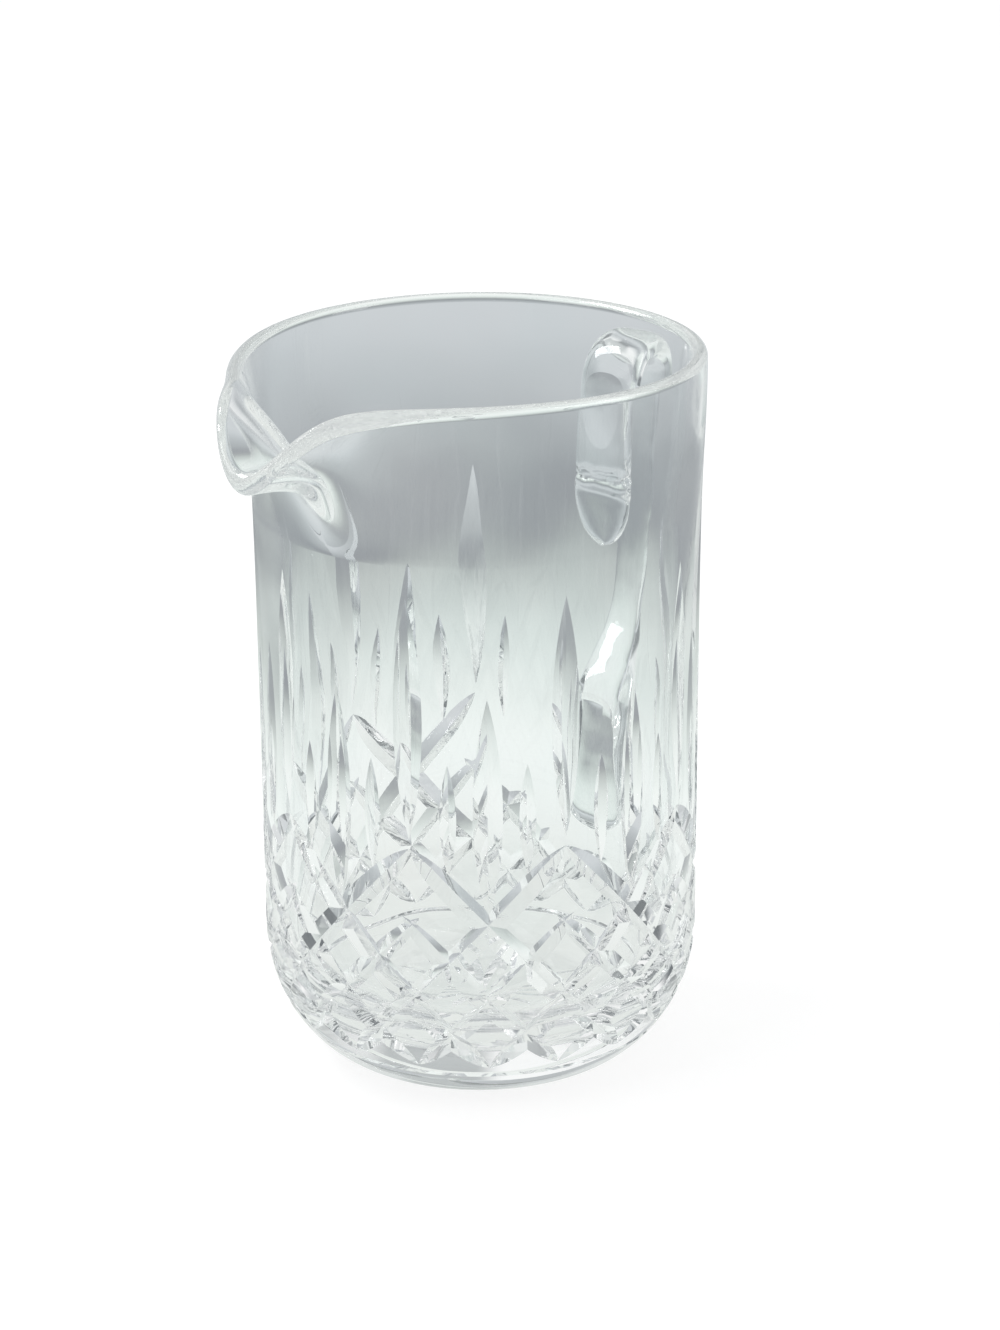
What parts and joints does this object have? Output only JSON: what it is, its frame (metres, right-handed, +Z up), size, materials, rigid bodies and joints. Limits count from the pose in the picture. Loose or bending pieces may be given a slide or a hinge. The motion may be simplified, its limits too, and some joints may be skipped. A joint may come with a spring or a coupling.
{
  "type": "cut glass pitcher",
  "caption": "Straight-sided clear glass pitcher with a pulled pouring lip, mitre-cut diamonds and lancets, a star-cut base and a looped strap handle.",
  "frame": {"origin": "centre of the foot, on the surface that the pitcher stands on", "axes": "+Z up along the body's axis; +X towards the handle, so the lip points along -X; +Y completes the right-handed set and is the narrow way"},
  "size_m": [0.1536, 0.1014, 0.167],
  "materials": {
    "cut_glass": "polished clear crystal, blown and cut",
    "strap_glass": "fire-polished clear crystal, drawn"
  },
  "bodies": {
    "root": {"body": "cut_glass", "handle": "strap_glass"}
  },
  "joints": []
}
